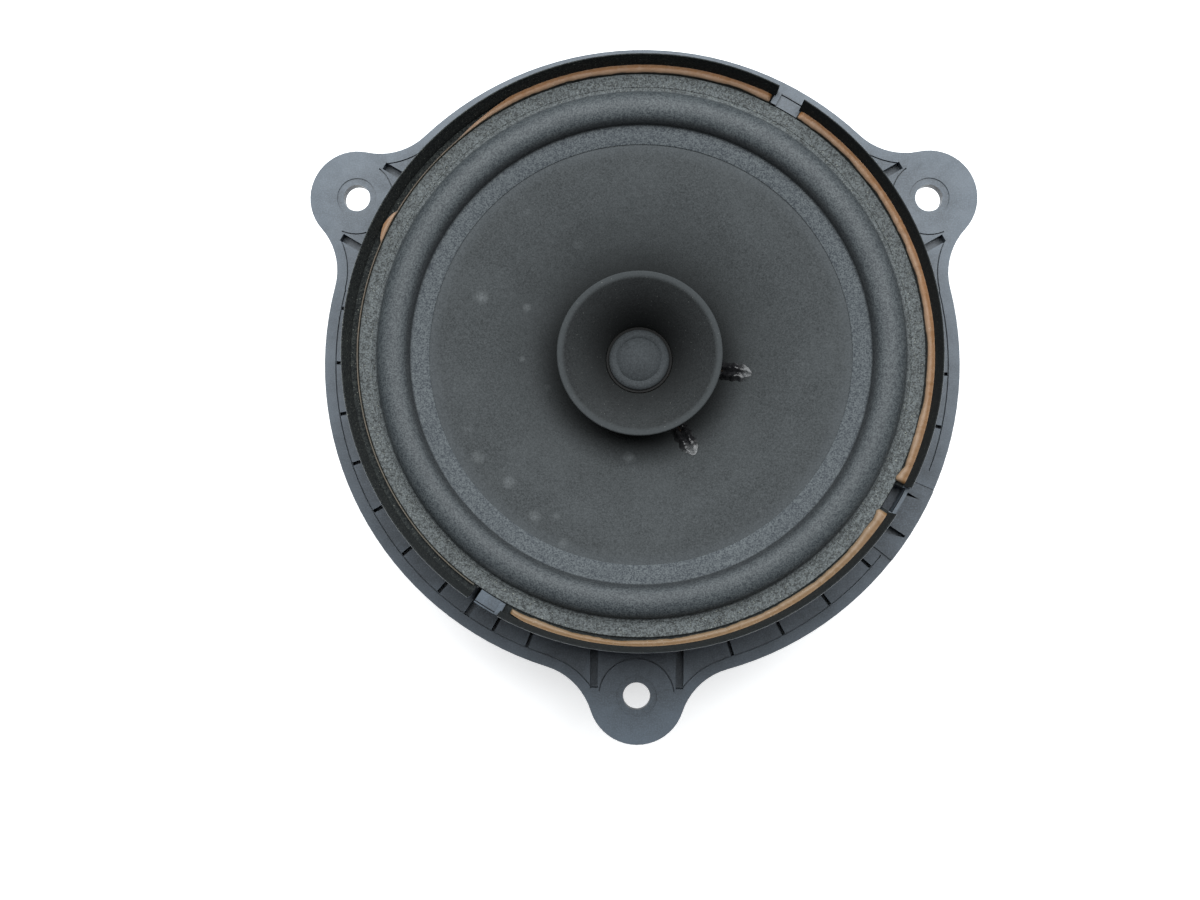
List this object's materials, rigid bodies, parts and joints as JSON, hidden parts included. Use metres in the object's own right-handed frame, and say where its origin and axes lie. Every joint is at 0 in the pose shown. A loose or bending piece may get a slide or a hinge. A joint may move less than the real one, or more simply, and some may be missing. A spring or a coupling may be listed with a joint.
{
  "type": "door loudspeaker",
  "caption": "Round in-car door loudspeaker with a paper cone, a whizzer cone for high notes, a moulded three-ear basket and a ferrite motor behind.",
  "frame": {"origin": "on the speaker's axis, in the plane of the mounting ears' rear faces", "axes": "+Z out of the front toward the listener, -Y toward the single ear, +X to the right as the listener sees it"},
  "size_m": [0.1744, 0.1813, 0.075],
  "materials": {
    "moulded_plastic": "glass-filled moulded plastic, blue-black, fine grain",
    "gasket_foam": "closed-cell foam",
    "surround_cloth": "coated cloth with a fine speckle",
    "tan_adhesive": "tan contact adhesive",
    "cone_paper": "pressed black paper pulp with visible fibres",
    "whizzer_paper": "thin pressed black paper",
    "black_adhesive": "glossy black adhesive",
    "former_paper": "brown kraft paper tube",
    "copper_wire": "enamelled copper",
    "spider_cloth": "resin-treated yellow-brown cloth",
    "plated_steel": "zinc-plated steel",
    "ferrite": "dark grey ferrite",
    "screw_steel": "zinc-plated screws",
    "terminal_plastic": "moulded black nylon",
    "terminal_metal": "tinned brass",
    "solder": "tin solder",
    "tinsel_braid": "braided tinsel lead"
  },
  "bodies": {
    "frame_body": {"basket": "moulded_plastic", "rear_gasket": "gasket_foam", "surround": "surround_cloth", "surround_glue_bead": "tan_adhesive", "spider": "spider_cloth", "spider_glue_ring": "tan_adhesive", "top_plate": "plated_steel", "magnet": "ferrite", "back_plate": "plated_steel", "pole_piece": "plated_steel", "motor_screws": "screw_steel", "terminal_housing": "terminal_plastic", "terminal_blades": "terminal_metal", "solder_joints": "solder", "tinsel_leads": "tinsel_braid"},
    "cone_body": {"cone": "cone_paper", "whizzer_cone": "whizzer_paper", "dust_cap": "whizzer_paper", "neck_glue_ring": "black_adhesive", "coil_former": "former_paper", "voice_coil": "copper_wire", "lead_glue_dabs": "black_adhesive", "coil_lead_wires": "copper_wire"}
  },
  "joints": [
    {"name": "cone_travel", "type": "slide", "parent": "frame_body", "child": "cone_body", "axis": [0, 0, 1], "range_m": [-0.004, 0.004], "stiffness_N_per_m": 2500, "deforming": ["surround", "spider", "tinsel_leads"]}
  ]
}
